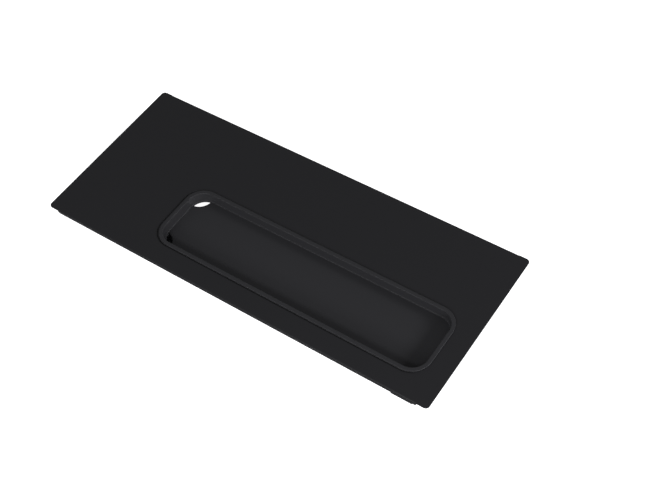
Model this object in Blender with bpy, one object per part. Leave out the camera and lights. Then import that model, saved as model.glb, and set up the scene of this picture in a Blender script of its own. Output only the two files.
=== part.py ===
"""Front access panel of a trash compactor, with a recessed oblong pull, lying face up.

X runs along the panel's long edge, Y across it, Z up out of the painted face.
The origin is below the panel's centre, on the surface that the back pads rest on.
"""

import math

import bmesh
import bpy
from mathutils import Matrix, Vector

# Panel sheet
PANEL_LENGTH = 0.375
PANEL_WIDTH = 0.1565
SHEET = 0.001
PANEL_CORNER = 0.0035
FACE_HEIGHT = 0.022
FLANGE_DROP = 0.0037
FLANGE_RELIEF = 0.010
LOCATING_TAB_LENGTH = 0.019
LOCATING_TAB_DROP = 0.0013
LOCATING_TAB_INSET = 0.013

# Recessed pull, placed from the panel's right and near edges
PULL_LENGTH = 0.2594
PULL_WIDTH = 0.0647
PULL_RIGHT_MARGIN = 0.0176
PULL_NEAR_MARGIN = 0.0186
RIM_WIDTH = 0.0036
RIM_HEIGHT = 0.0012
RIM_EDGE = 0.0003
MOUTH_CORNER = 0.0136
CUP_DEPTH = 0.008
CUP_DRAFT = 0.0003
CUP_WALL = 0.0015
CUP_FLOOR = 0.0014
RELIEF_RADIUS = 0.0117
CUTOUT_CLEARANCE = 0.0004

# Screwed bridges that clamp the cup from behind
BRIDGE_SPACING = 0.096
BRIDGE_BREADTH = 0.016
BRIDGE_SHEET = 0.0012
BRIDGE_FOOT = 0.0088
BRIDGE_CLEARANCE = 0.0010
BOSS_RADIUS = 0.004
BOSS_DROP = 0.005
BOSS_SPACING = 0.026
PILOT_RADIUS = 0.0023
SCREW_RADIUS = 0.0020
SCREW_LENGTH = 0.0052
SCREW_HEAD_RADIUS = 0.004
SCREW_HEAD_HEIGHT = 0.0022

# Gasket, damping and stiffeners on the back of the sheet
GASKET_WIDTH = 0.004
GASKET_THICKNESS = 0.002
DAMPING_THICKNESS = 0.0018
DAMPING_SIDE = (0.034, 0.036)
CHANNEL_LENGTH = 0.325
SIDE_STIFFENER_LENGTH = 0.076
STIFFENER_DEPTH = 0.009
STIFFENER_CROWN = 0.008
STIFFENER_FOOT = 0.004
STIFFENER_SHEET = 0.0008

# Mounting brackets with their clinch nuts and pads
BRACKET_SHEET = 0.0015
BRACKET_FOOT = 0.022
SHORT_BRACKET_FOOT = 0.0110
BRACKET_SHELF = 0.030
SHORT_BRACKET_SHELF = 0.026
BRACKET_BREADTH = 0.024
PAD_THICKNESS = 0.002
PAD_RADIUS = 0.008
PAD_HOLE_RADIUS = 0.004
NUT_RADIUS = 0.0048
NUT_HEIGHT = 0.004
NUT_BORE = 0.0022
MOUNTING_HOLE = 0.0035
MOUNTING_HOLE_INSET = 0.009

GAP = 0.0003
CORNER_STEPS = 9
ROUND_STEPS = 24

SHEET_BACK = FACE_HEIGHT - SHEET
BACK_LEVEL = SHEET_BACK - GAP
SHELF_BOTTOM = PAD_THICKNESS + GAP
CUP_FLOOR_TOP = FACE_HEIGHT - CUP_DEPTH
CUP_UNDERSIDE = CUP_FLOOR_TOP - CUP_FLOOR
BOSS_END = CUP_UNDERSIDE - BOSS_DROP
PANEL_LEFT = -PANEL_LENGTH / 2
PANEL_RIGHT = PANEL_LENGTH / 2
PANEL_NEAR = -PANEL_WIDTH / 2
PANEL_FAR = PANEL_WIDTH / 2
MOUTH_LENGTH = PULL_LENGTH - 2 * RIM_WIDTH
MOUTH_WIDTH = PULL_WIDTH - 2 * RIM_WIDTH
PULL_X = PANEL_RIGHT - PULL_RIGHT_MARGIN - PULL_LENGTH / 2
PULL_Y = PANEL_NEAR + PULL_NEAR_MARGIN + PULL_WIDTH / 2


def clear_scene():
    for old in list(bpy.data.objects):
        bpy.data.objects.remove(old, do_unlink=True)


def finish(name, colour, roughness, metallic=0.0):
    """A Principled material, made once and shared by name."""
    found = bpy.data.materials.get(name)
    if found:
        return found
    material = bpy.data.materials.new(name)
    material.use_nodes = True
    shader = material.node_tree.nodes["Principled BSDF"]
    shader.inputs["Base Color"].default_value = (*colour, 1.0)
    shader.inputs["Roughness"].default_value = roughness
    shader.inputs["Metallic"].default_value = metallic
    return material


def satin_paint():
    return finish("satin_black_paint", (0.012, 0.012, 0.013), 0.45)


def moulded_plastic():
    return finish("moulded_black_plastic", (0.020, 0.020, 0.022), 0.55)


def black_foam():
    return finish("black_foam", (0.015, 0.015, 0.016), 0.9)


def coated_steel():
    return finish("black_coated_steel", (0.030, 0.030, 0.032), 0.5, 0.3)


def zinc_plate():
    return finish("zinc_plated_steel", (0.62, 0.62, 0.60), 0.35, 1.0)


def black_rubber():
    return finish("black_rubber", (0.018, 0.018, 0.018), 0.8)


def damping_mastic():
    return finish("damping_mastic", (0.040, 0.038, 0.036), 0.95)


def add_object(name, shape, material):
    """Turn a finished bmesh into a named object with outward faces."""
    bmesh.ops.recalc_face_normals(shape, faces=shape.faces)
    mesh = bpy.data.meshes.new(name)
    shape.to_mesh(mesh)
    shape.free()
    made = bpy.data.objects.new(name, mesh)
    bpy.context.scene.collection.objects.link(made)
    if material:
        mesh.materials.append(material)
    return made


def rounded_outline(length, width, radius, offset=0.0):
    """Points round a rectangle with arc corners, grown evenly by offset."""
    points = []
    for quarter in range(4):
        side_x = 1 if quarter in (0, 3) else -1
        side_y = 1 if quarter in (0, 1) else -1
        centre = Vector((side_x * (length / 2 - radius), side_y * (width / 2 - radius)))
        for step in range(CORNER_STEPS):
            angle = math.radians(90) * (quarter + step / (CORNER_STEPS - 1))
            points.append(centre + (radius + offset) * Vector((math.cos(angle), math.sin(angle))))
    return points


def circle(radius, steps=ROUND_STEPS):
    return [
        Vector((radius * math.cos(math.tau * i / steps), radius * math.sin(math.tau * i / steps)))
        for i in range(steps)
    ]


def loft(name, loops, material, close=False):
    """Skin a stack of (outline, height) loops; the ends are capped, or joined when closed."""
    shape = bmesh.new()
    rings = [[shape.verts.new((p.x, p.y, z)) for p in outline] for outline, z in loops]
    count = len(rings[0])
    pairs = list(zip(rings, rings[1:]))
    if close:
        pairs.append((rings[-1], rings[0]))
    else:
        shape.faces.new(rings[0])
        shape.faces.new(rings[-1])
    for low, high in pairs:
        for i in range(count):
            j = (i + 1) % count
            shape.faces.new((low[i], low[j], high[j], high[i]))
    return add_object(name, shape, material)


def prism(name, profile, length, material):
    """Extrude a profile in local X and Z along local Y, centred on the origin."""
    shape = bmesh.new()
    face = shape.faces.new([shape.verts.new((x, -length / 2, z)) for x, z in profile])
    moved = bmesh.ops.extrude_face_region(shape, geom=[face])["geom"]
    corners = [v for v in moved if isinstance(v, bmesh.types.BMVert)]
    bmesh.ops.translate(shape, vec=(0, length, 0), verts=corners)
    return add_object(name, shape, material)


def block(name, low, high, material=None):
    """A box between two corners."""
    shape = bmesh.new()
    bmesh.ops.create_cube(shape, size=1.0)
    size = Vector(high) - Vector(low)
    centre = (Vector(high) + Vector(low)) / 2
    bmesh.ops.transform(shape, matrix=Matrix.Diagonal((*size, 1)), verts=shape.verts)
    bmesh.ops.translate(shape, vec=centre, verts=shape.verts)
    return add_object(name, shape, material)


def as_helper(helper, target, operation):
    """Hide a helper and join it to, or cut it from, the target."""
    helper.hide_render = True
    helper.display_type = "WIRE"
    modifier = target.modifiers.new(helper.name, "BOOLEAN")
    modifier.operation = operation
    modifier.solver = "EXACT"
    modifier.object = helper
    return helper


def cut(target, helper):
    return as_helper(helper, target, "DIFFERENCE")


def join(target, helper):
    return as_helper(helper, target, "UNION")


def smooth(made, degrees=35):
    made.data.shade_smooth()
    made.data.set_sharp_from_angle(angle=math.radians(degrees))


def pull_outline(offset):
    return rounded_outline(MOUTH_LENGTH, MOUTH_WIDTH, MOUTH_CORNER, offset)


def make_face_panel():
    """Sheet-steel face with a cut-out for the pull and a short flange down each long edge."""
    outline = rounded_outline(PANEL_LENGTH, PANEL_WIDTH, PANEL_CORNER)
    panel = loft("face_panel", [(outline, SHEET_BACK), (outline, FACE_HEIGHT)], satin_paint())
    end = PANEL_LENGTH / 2 - FLANGE_RELIEF
    root = SHEET_BACK + SHEET / 2
    for edge, side in (("near", -1), ("far", 1)):
        rows = sorted((side * PANEL_WIDTH / 2, side * (PANEL_WIDTH / 2 - SHEET)))
        low = (-end, rows[0], FACE_HEIGHT - FLANGE_DROP)
        join(panel, block(f"{edge}_flange", low, (end, rows[1], root)))
    tab_end = PANEL_RIGHT - LOCATING_TAB_INSET
    tab_low = (tab_end - LOCATING_TAB_LENGTH, PANEL_NEAR, FACE_HEIGHT - FLANGE_DROP - LOCATING_TAB_DROP)
    join(panel, block("locating_tab", tab_low, (tab_end, PANEL_NEAR + SHEET, root)))
    opening = pull_outline(CUP_WALL + CUTOUT_CLEARANCE)
    cutter = loft("panel_cutter", [(opening, SHEET_BACK - SHEET), (opening, FACE_HEIGHT + SHEET)], None)
    cutter.location = (PULL_X, PULL_Y, 0)
    cut(panel, cutter)
    return panel


def relief_cutter(side):
    """The sliver between the cup's rounded corner and a round relief centred on its square corner."""
    corner = Vector((-MOUTH_LENGTH / 2, side * MOUTH_WIDTH / 2))
    arc_centre = corner + MOUTH_CORNER * Vector((1, -side))
    arc_radius = MOUTH_CORNER - CUP_DRAFT - 0.0002
    reach = (corner - arc_centre).length
    along = (reach**2 + arc_radius**2 - RELIEF_RADIUS**2) / (2 * reach)
    half_wall = math.acos(along / arc_radius)
    half_floor = math.acos((reach - along) / RELIEF_RADIUS)
    outward = math.atan2(corner.y - arc_centre.y, corner.x - arc_centre.x)
    steps = CORNER_STEPS + 3
    points = []
    for centre, radius, half, heading in (
        (arc_centre, arc_radius, half_wall, outward),
        (corner, RELIEF_RADIUS, half_floor, outward + math.pi),
    ):
        for step in range(steps - 1):
            angle = heading - half + 2 * half * step / (steps - 1)
            points.append(centre + radius * Vector((math.cos(angle), math.sin(angle))))
    name = "near_relief" if side < 0 else "far_relief"
    reach_down = 2 * CUP_FLOOR
    return loft(name, [(points, CUP_FLOOR_TOP - reach_down), (points, CUP_FLOOR_TOP + CUP_FLOOR)], None)


def make_pull_cup():
    """Moulded pull: a proud rim, drafted walls and a flat floor with two left-hand corner drains."""
    top = FACE_HEIGHT + RIM_HEIGHT
    loops = [
        (pull_outline(-CUP_DRAFT), CUP_FLOOR_TOP),
        (pull_outline(0), top - RIM_EDGE),
        (pull_outline(RIM_EDGE), top),
        (pull_outline(RIM_WIDTH - RIM_EDGE), top),
        (pull_outline(RIM_WIDTH), top - RIM_EDGE),
        (pull_outline(RIM_WIDTH), FACE_HEIGHT + GAP),
        (pull_outline(CUP_WALL), FACE_HEIGHT + GAP),
        (pull_outline(CUP_WALL), CUP_UNDERSIDE),
    ]
    cup = loft("pull_cup", loops, moulded_plastic())
    for index, (x, y) in enumerate(boss_places(), 1):
        shape = [(circle(BOSS_RADIUS), BOSS_END), (circle(BOSS_RADIUS), CUP_UNDERSIDE + CUP_FLOOR / 2)]
        boss = loft(f"boss_{index}", shape, None)
        boss.location = (x, y, 0)
        join(cup, boss)
    for index, (x, y) in enumerate(boss_places(), 1):
        shape = [(circle(PILOT_RADIUS), BOSS_END - GAP), (circle(PILOT_RADIUS), CUP_UNDERSIDE - GAP)]
        pilot = loft(f"pilot_{index}", shape, None)
        pilot.location = (x, y, 0)
        cut(cup, pilot)
    for side in (-1, 1):
        cut(cup, relief_cutter(side))
    cup.location = (PULL_X, PULL_Y, 0)
    for modifier in cup.modifiers:
        modifier.object.parent = cup
    smooth(cup)
    return cup


def bridge_places():
    return [step * BRIDGE_SPACING for step in (-1, 0, 1)]


def boss_places():
    """Boss centres under the cup, measured from the pull's centre."""
    return [(x, side * BOSS_SPACING / 2) for x in bridge_places() for side in (-1, 1)]


def make_bridges():
    """Hat-section straps across the back of the cup, one behind each pair of bosses."""
    crown_top = BOSS_END - GAP
    crown = crown_top - BRIDGE_SHEET
    inner = PULL_WIDTH / 2 - RIM_WIDTH + CUP_WALL + CUTOUT_CLEARANCE + GASKET_WIDTH + BRIDGE_CLEARANCE
    outer = inner + BRIDGE_SHEET
    foot = inner + BRIDGE_FOOT
    profile = [
        (-foot, BACK_LEVEL), (-inner, BACK_LEVEL), (-inner, crown_top), (inner, crown_top),
        (inner, BACK_LEVEL), (foot, BACK_LEVEL), (foot, BACK_LEVEL - BRIDGE_SHEET),
        (outer, BACK_LEVEL - BRIDGE_SHEET), (outer, crown), (-outer, crown),
        (-outer, BACK_LEVEL - BRIDGE_SHEET), (-foot, BACK_LEVEL - BRIDGE_SHEET),
    ]
    for where, x in zip(("left", "middle", "right"), bridge_places()):
        bridge = prism(f"{where}_clamp_bridge", profile, BRIDGE_BREADTH, coated_steel())
        bridge.rotation_euler.z = math.radians(90)
        bridge.location = (PULL_X + x, PULL_Y, 0)
        for side in (-1, 1):
            hole = circle(PILOT_RADIUS)
            name = f"{where}_bridge_hole_{'near' if side < 0 else 'far'}"
            cutter = loft(name, [(hole, crown - SHEET), (hole, crown_top + SHEET)], None)
            cutter.location = (PULL_X + x, PULL_Y + side * BOSS_SPACING / 2, 0)
            cut(bridge, cutter)


def make_cup_screws():
    """Pan-head screws up through the bridges into the cup's bosses."""
    seat = BOSS_END - GAP - BRIDGE_SHEET - GAP
    names = [f"{where}_{side}_cup_screw" for where in ("left", "middle", "right") for side in ("near", "far")]
    for name, (x, y) in zip(names, boss_places()):
        loops = [
            (circle(SCREW_HEAD_RADIUS * 0.7), seat - SCREW_HEAD_HEIGHT),
            (circle(SCREW_HEAD_RADIUS * 0.93), seat - SCREW_HEAD_HEIGHT * 0.75),
            (circle(SCREW_HEAD_RADIUS), seat - SCREW_HEAD_HEIGHT * 0.35),
            (circle(SCREW_HEAD_RADIUS), seat),
            (circle(SCREW_RADIUS), seat),
            (circle(SCREW_RADIUS), seat + SCREW_LENGTH - SCREW_RADIUS / 2),
            (circle(SCREW_RADIUS / 2), seat + SCREW_LENGTH),
        ]
        screw = loft(name, loops, zinc_plate())
        screw.location = (PULL_X + x, PULL_Y + y, 0)
        smooth(screw)


def make_cup_gasket():
    """Foam ring on the back of the sheet, round the cut-out, that the cup's wall passes through."""
    inner = pull_outline(CUP_WALL + CUTOUT_CLEARANCE)
    outer = pull_outline(CUP_WALL + CUTOUT_CLEARANCE + GASKET_WIDTH)
    low = BACK_LEVEL - GASKET_THICKNESS
    loops = [(inner, low), (outer, low), (outer, BACK_LEVEL), (inner, BACK_LEVEL)]
    gasket = loft("cup_gasket", loops, black_foam(), close=True)
    gasket.location = (PULL_X, PULL_Y, 0)


def hat_profile():
    """Hat section for a stiffener: two feet, two sloping webs and a crown."""
    crown = STIFFENER_CROWN / 2
    web = crown + STIFFENER_DEPTH * 0.3
    foot = web + STIFFENER_FOOT
    under = BACK_LEVEL - STIFFENER_SHEET
    low = BACK_LEVEL - STIFFENER_DEPTH
    return [
        (-foot, BACK_LEVEL), (-web, BACK_LEVEL), (-crown, low + STIFFENER_SHEET),
        (crown, low + STIFFENER_SHEET), (web, BACK_LEVEL), (foot, BACK_LEVEL), (foot, under),
        (web + STIFFENER_SHEET, under), (crown + STIFFENER_SHEET, low),
        (-crown - STIFFENER_SHEET, low), (-web - STIFFENER_SHEET, under), (-foot, under),
    ]


def make_stiffeners():
    """One long channel behind the blank far strip and a short one behind the blank left end."""
    channel = prism("long_stiffener", hat_profile(), CHANNEL_LENGTH, coated_steel())
    channel.rotation_euler.z = math.radians(90)
    channel.location = (0, PANEL_FAR - 0.0475, 0)
    side = prism("side_stiffener", hat_profile(), SIDE_STIFFENER_LENGTH, coated_steel())
    side.location = (PANEL_LEFT + 0.036, PANEL_NEAR + 0.056, 0)


def make_damping_pad():
    """Mastic patch that stops the blank end from drumming."""
    centre = Vector((PANEL_LEFT + 0.074, PANEL_NEAR + 0.078))
    outline = [p + centre for p in rounded_outline(*DAMPING_SIDE, PANEL_CORNER)]
    levels = (BACK_LEVEL - DAMPING_THICKNESS, BACK_LEVEL)
    loft("damping_pad", [(outline, z) for z in levels], damping_mastic())


def bracket_places():
    """Name, riser x, centre y, shelf direction, foot length and shelf length of each bracket."""
    left_riser = PULL_X - PULL_LENGTH / 2 - 0.013
    right_riser = PULL_X + PULL_LENGTH / 2 + 0.0050
    near_row = PANEL_NEAR + 0.038
    far_row = PANEL_FAR - 0.0245
    return [
        ("near_left", left_riser, near_row, 1, BRACKET_FOOT, BRACKET_SHELF),
        ("near_right", right_riser, near_row, -1, SHORT_BRACKET_FOOT, SHORT_BRACKET_SHELF),
        ("far_left", PANEL_LEFT + 0.034, far_row, 1, BRACKET_FOOT, BRACKET_SHELF),
        ("far_right", PANEL_RIGHT - 0.034, far_row, -1, BRACKET_FOOT, BRACKET_SHELF),
    ]


def make_bracket(name, riser, row, heading, foot, shelf):
    """Z-bracket: a foot welded behind the sheet, a riser, and a shelf with a mounting hole."""
    t = BRACKET_SHEET
    profile = [
        (-foot, BACK_LEVEL), (t, BACK_LEVEL), (t, SHELF_BOTTOM + t), (shelf, SHELF_BOTTOM + t),
        (shelf, SHELF_BOTTOM), (0, SHELF_BOTTOM), (0, BACK_LEVEL - t), (-foot, BACK_LEVEL - t),
    ]
    profile = [(heading * x, z) for x, z in profile]
    bracket = prism(f"{name}_bracket", profile, BRACKET_BREADTH, coated_steel())
    bracket.location = (riser, row, 0)
    hole = circle(MOUNTING_HOLE)
    cutter = loft(f"{name}_hole", [(hole, 0), (hole, SHELF_BOTTOM + 2 * t)], None)
    cutter.location = (riser + heading * MOUNTING_HOLE_INSET, row, 0)
    cut(bracket, cutter)
    return cutter.location


def ring(name, outline, bore, low, high, material, place):
    """A straight-sided ring with a round bore."""
    loops = [(bore, low), (outline, low), (outline, high), (bore, high)]
    made = loft(name, loops, material, close=True)
    made.location = place
    return made


def make_mountings():
    """Four brackets, each with a clinch nut on its shelf and a rubber pad under it."""
    nut_low = SHELF_BOTTOM + BRACKET_SHEET + GAP
    for name, *places in bracket_places():
        centre = make_bracket(name, *places)
        hexagon = circle(NUT_RADIUS, 6)
        bore = circle(NUT_BORE, 6)
        ring(f"{name}_nut", hexagon, bore, nut_low, nut_low + NUT_HEIGHT, zinc_plate(), centre)
        pad_shape = circle(PAD_RADIUS)
        ring(f"{name}_pad", pad_shape, circle(PAD_HOLE_RADIUS), 0, PAD_THICKNESS, black_rubber(), centre)


clear_scene()
make_face_panel()
make_pull_cup()
make_bridges()
make_cup_screws()
make_cup_gasket()
make_stiffeners()
make_damping_pad()
make_mountings()
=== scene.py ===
"""Looks of a trash compactor's front panel with a recessed pull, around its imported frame."""

import math

import bmesh
import bpy
import numpy as np
from mathutils import Matrix, Vector


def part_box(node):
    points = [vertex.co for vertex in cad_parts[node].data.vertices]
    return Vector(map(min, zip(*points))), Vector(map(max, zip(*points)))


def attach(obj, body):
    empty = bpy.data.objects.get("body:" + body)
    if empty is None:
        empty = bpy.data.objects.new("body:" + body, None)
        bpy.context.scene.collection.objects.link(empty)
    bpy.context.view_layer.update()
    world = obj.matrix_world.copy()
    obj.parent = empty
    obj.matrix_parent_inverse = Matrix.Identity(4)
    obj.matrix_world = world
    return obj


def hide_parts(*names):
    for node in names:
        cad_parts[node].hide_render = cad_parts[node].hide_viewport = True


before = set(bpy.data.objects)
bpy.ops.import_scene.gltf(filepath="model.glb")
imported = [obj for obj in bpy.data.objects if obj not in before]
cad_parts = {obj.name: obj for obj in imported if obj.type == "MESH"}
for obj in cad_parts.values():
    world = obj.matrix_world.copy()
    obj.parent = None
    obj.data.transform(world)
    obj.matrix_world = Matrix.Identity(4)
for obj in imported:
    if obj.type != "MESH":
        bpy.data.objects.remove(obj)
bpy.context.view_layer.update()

MM = 0.001

# ---- View --------------------------------------------------------------------------
# The panel is seen lying face up from its near right corner, from about 0.92 m away,
# with a moderately long lens and the camera rolled a little.

VIEW_AZIMUTH = math.radians(40.32)
VIEW_ELEVATION = math.radians(52.47)
VIEW_ROLL = math.radians(7.54)
VIEW_DISTANCE = 0.9209
VIEW_LENS = 63.81
VIEW_AIM = Vector((0.0402, 0.0028, 0.0220))


def aim_from(target, azimuth, elevation, distance, roll=0.0):
    """Place and turn for something that looks at target from an azimuth and elevation."""
    away = Vector((
        math.sin(azimuth) * math.cos(elevation),
        -math.cos(azimuth) * math.cos(elevation),
        math.sin(elevation),
    ))
    turn = away.to_track_quat("Z", "Y").to_matrix().to_4x4() @ Matrix.Rotation(-roll, 4, "Z")
    return Matrix.Translation(target + distance * away) @ turn


camera_data = bpy.data.cameras.new("view")
camera_data.lens = VIEW_LENS
camera_data.clip_start = 0.05
camera = bpy.data.objects.new("view", camera_data)
camera.matrix_world = aim_from(VIEW_AIM, VIEW_AZIMUTH, VIEW_ELEVATION, VIEW_DISTANCE, VIEW_ROLL)
bpy.context.scene.collection.objects.link(camera)
bpy.context.scene.camera = camera

# ---- Floor and light ---------------------------------------------------------------
# A white sweep in a dim room, lit so evenly that it shows no shadow and throws no light
# back. It is clear from below, so the panel's back can be seen through it. Six square
# soft boxes stand round the panel, two of them below it.

bpy.context.scene.view_settings.view_transform = "Standard"

ROOM_BRIGHTNESS = 0.240
FLOOR_HALF = 50.0
FLOOR_DROP = 0.5 * MM

room = bpy.data.worlds.new("room")
room.use_nodes = True
room.node_tree.nodes["Background"].inputs["Color"].default_value = (1.0, 1.0, 1.0, 1.0)
room.node_tree.nodes["Background"].inputs["Strength"].default_value = ROOM_BRIGHTNESS
bpy.context.scene.world = room

floor_mesh = bpy.data.meshes.new("floor")
floor_signs = ((-1, -1), (1, -1), (1, 1), (-1, 1))
floor_corners = [(x * FLOOR_HALF, y * FLOOR_HALF, -FLOOR_DROP) for x, y in floor_signs]
floor_mesh.from_pydata(floor_corners, [], [(0, 1, 2, 3)])
floor = bpy.data.objects.new("floor", floor_mesh)
bpy.context.scene.collection.objects.link(floor)
floor.visible_diffuse = False
floor.visible_glossy = False
floor.visible_shadow = False
white_sweep = bpy.data.materials.new("white_sweep")
white_sweep.use_nodes = True
sweep_shader = white_sweep.node_tree.nodes["Principled BSDF"]
sweep_shader.inputs["Base Color"].default_value = (0.9, 0.9, 0.9, 1.0)
sweep_shader.inputs["Roughness"].default_value = 0.9
sweep_shader.inputs["Emission Color"].default_value = (1.0, 1.0, 1.0, 1.0)
sweep_shader.inputs["Emission Strength"].default_value = 1.0

# The sweep's front shows its white face and its back shows nothing.
sweep_nodes = white_sweep.node_tree.nodes
one_sided = sweep_nodes.new("ShaderNodeMixShader")
for source, target in (
    (sweep_nodes.new("ShaderNodeNewGeometry").outputs["Backfacing"], one_sided.inputs["Fac"]),
    (sweep_shader.outputs["BSDF"], one_sided.inputs[1]),
    (sweep_nodes.new("ShaderNodeBsdfTransparent").outputs["BSDF"], one_sided.inputs[2]),
    (one_sided.outputs["Shader"], sweep_nodes["Material Output"].inputs["Surface"]),
):
    white_sweep.node_tree.links.new(source, target)
floor_mesh.materials.append(white_sweep)

# Azimuth and elevation in degrees, side in metres, power in watts.
SOFT_LIGHTS = {
    "near_high_bank": (0, 40, 0.3, 6.0),
    "near_low_bank": (0, 22, 0.3, 6.0),
    "near_right_bank": (60, 20, 0.3, 6.5),
    "far_right_bank": (110, 22, 0.3, 11.0),
    "under_bank": (-150, -60, 1.6, 30.0),
    "under_fill": (-100, -30, 1.0, 12.0),
}
LIGHT_DISTANCE = 1.5
COOL_TINT = (0.99, 0.99, 1.03)

for light_name, (azimuth, elevation, side, power) in SOFT_LIGHTS.items():
    light_data = bpy.data.lights.new(light_name, "AREA")
    light_data.size = side
    light_data.energy = power
    light_data.color = COOL_TINT
    light = bpy.data.objects.new(light_name, light_data)
    light.matrix_world = aim_from(VIEW_AIM, math.radians(azimuth), math.radians(elevation), LIGHT_DISTANCE)
    bpy.context.scene.collection.objects.link(light)

# ---- Face panel --------------------------------------------------------------------
# One millimetre sheet steel in satin black powder coat. Both long edges are folded down
# short of the corners, and the near flange has a slightly deeper locating tab. A shallow
# groove lies beside the pull's rim, along its left and near sides.

SHEET = 1.0 * MM
SHEET_EDGE = 0.25 * MM
SHEET_CORNER = 3.5 * MM
FOLD_RADIUS = 0.9 * MM
FOLD_INSIDE = 0.3 * MM
FLANGE_DROP = 3.7 * MM
FLANGE_RELIEF = 10.0 * MM
LEFT_END_RADIUS = 2.6 * MM
RIGHT_END_RADIUS = 0.5 * MM
TAB_LENGTH = 19.0 * MM
TAB_DROP = 1.3 * MM
TAB_INSET = 13.0 * MM
TAB_SLOPE = 0.6 * MM
OPENING_CLEARANCE = 1.9 * MM
GROOVE_NEAR = 0.9 * MM
GROOVE_LEFT = 1.9 * MM
GROOVE_DEPTH = 0.7 * MM
GROOVE_UNDER_RIM = 0.3 * MM
GROOVE_WALL = 0.05 * MM
GROOVE_FACING = (-0.75, -0.66)
SUPPORT = 0.02 * MM
MARGIN = 1.0 * MM

panel_low, panel_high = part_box("face_panel")
PANEL_TOP = panel_high.z
PANEL_LENGTH = panel_high.x - panel_low.x
PANEL_WIDTH = panel_high.y - panel_low.y
FLANGE_END = PANEL_LENGTH / 2 - FLANGE_RELIEF
TAB_RIGHT = PANEL_LENGTH / 2 - TAB_INSET
cup_low, cup_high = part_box("pull_cup")
RIM_WIDTH = 3.6 * MM
PULL_CENTRE = ((cup_low.x + cup_high.x) / 2, (cup_low.y + cup_high.y) / 2)
MOUTH = (cup_high.x - cup_low.x - 2 * RIM_WIDTH, cup_high.y - cup_low.y - 2 * RIM_WIDTH)
MOUTH_CORNER = 13.6 * MM


def rounded_loop(size, radius, along_long, along_short, arc_steps, centre=(0.0, 0.0)):
    """Points and outward normals round a rectangle whose corners are quarter circles.

    Each side runs between two arcs at the given fractions of its length; an arc's point
    is its centre plus radius times the normal. The loop is anticlockwise from the lower
    end of the right side.
    """
    half = np.array(size) / 2
    sides = []
    directions = ((1, 0), (0, 1), (-1, 0), (0, -1))
    for quarter, (nx, ny) in enumerate(directions):
        fractions = np.asarray(along_short if nx else along_long)
        if quarter in (1, 2):
            fractions = fractions[::-1]
        run = (2 * fractions - 1) * ((half[1] if nx else half[0]) - radius)
        if nx:
            side = np.stack([np.full_like(run, nx * half[0]), run], 1)
        else:
            side = np.stack([run, np.full_like(run, ny * half[1])], 1)
        sides.append((side, np.tile((float(nx), float(ny)), (len(run), 1))))
        angle = math.pi / 2 * (quarter + np.arange(1, arc_steps) / arc_steps)
        normal = np.stack([np.cos(angle), np.sin(angle)], 1)
        sides.append((np.array((nx - ny, nx + ny)) * (half - radius) + radius * normal, normal))
    points = np.concatenate([s[0] for s in sides]) + np.array(centre)
    return points, np.concatenate([s[1] for s in sides])


def arc(centre, radius, start, end, steps):
    """Profile points on a circle: centre plus radius at evenly spaced angles, in degrees."""
    angle = np.radians(np.linspace(start, end, steps))
    return np.stack([centre[0] + radius * np.cos(angle), centre[1] + radius * np.sin(angle)], 1)


def carry(points, normals, profile):
    """Carry a profile round a loop: point plus normal times its first column, at its second as height.

    The profile is (rows, 2), or (loop points, rows, 2) where it changes along the loop.
    """
    profile = np.broadcast_to(profile, (len(points), *np.shape(profile)[-2:]))
    flat = points[:, None, :] + normals[:, None, :] * profile[:, :, :1]
    return np.concatenate([flat, profile[:, :, 1:]], 2)


def skin(name, grids, finish, sharp=None):
    """A closed mesh from grids of points: each grid's rows and columns wrap where it says so.

    Faces join each point to its right, upper right and upper neighbours.
    """
    vertices, faces, start = [], [], 0
    for grid, wrap_rows, wrap_columns in grids:
        rows, columns = grid.shape[:2]
        index = start + np.arange(rows * columns).reshape(rows, columns)
        if wrap_rows:
            index = np.concatenate([index, index[:1]], 0)
        if wrap_columns:
            index = np.concatenate([index, index[:, :1]], 1)
        quads = np.stack([index[:-1, :-1], index[1:, :-1], index[1:, 1:], index[:-1, 1:]], -1)
        faces.append(quads.reshape(-1, 4))
        vertices.append(grid.reshape(-1, 3))
        start += rows * columns
    mesh = bpy.data.meshes.new(name)
    mesh.from_pydata(np.concatenate(vertices).tolist(), [], np.concatenate(faces).tolist())
    shape = bmesh.new()
    shape.from_mesh(mesh)
    bmesh.ops.remove_doubles(shape, verts=shape.verts, dist=1e-7)
    bmesh.ops.dissolve_degenerate(shape, edges=shape.edges, dist=1e-7)
    bmesh.ops.recalc_face_normals(shape, faces=shape.faces)
    shape.to_mesh(mesh)
    shape.free()
    mesh.shade_smooth()
    if sharp:
        mesh.set_sharp_from_angle(angle=math.radians(sharp))
    mesh.materials.append(finish)
    made = bpy.data.objects.new(name, mesh)
    even = made.modifiers.new("even_normals", "WEIGHTED_NORMAL")
    even.keep_sharp = bool(sharp)
    bpy.context.scene.collection.objects.link(made)
    return made


class Wire:
    """A shader socket. Arithmetic on it adds Math nodes to its material."""

    def __init__(self, paint, socket):
        self.paint = paint
        self.socket = socket

    def math(self, operation, first, second):
        return self.paint.node("ShaderNodeMath", {"operation": operation}, {0: first, 1: second})

    def __add__(self, other):
        return self.math("ADD", self, other)

    def __radd__(self, other):
        return self.math("ADD", other, self)

    def __sub__(self, other):
        return self.math("SUBTRACT", self, other)

    def __rmul__(self, other):
        return self.math("MULTIPLY", other, self)


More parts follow.
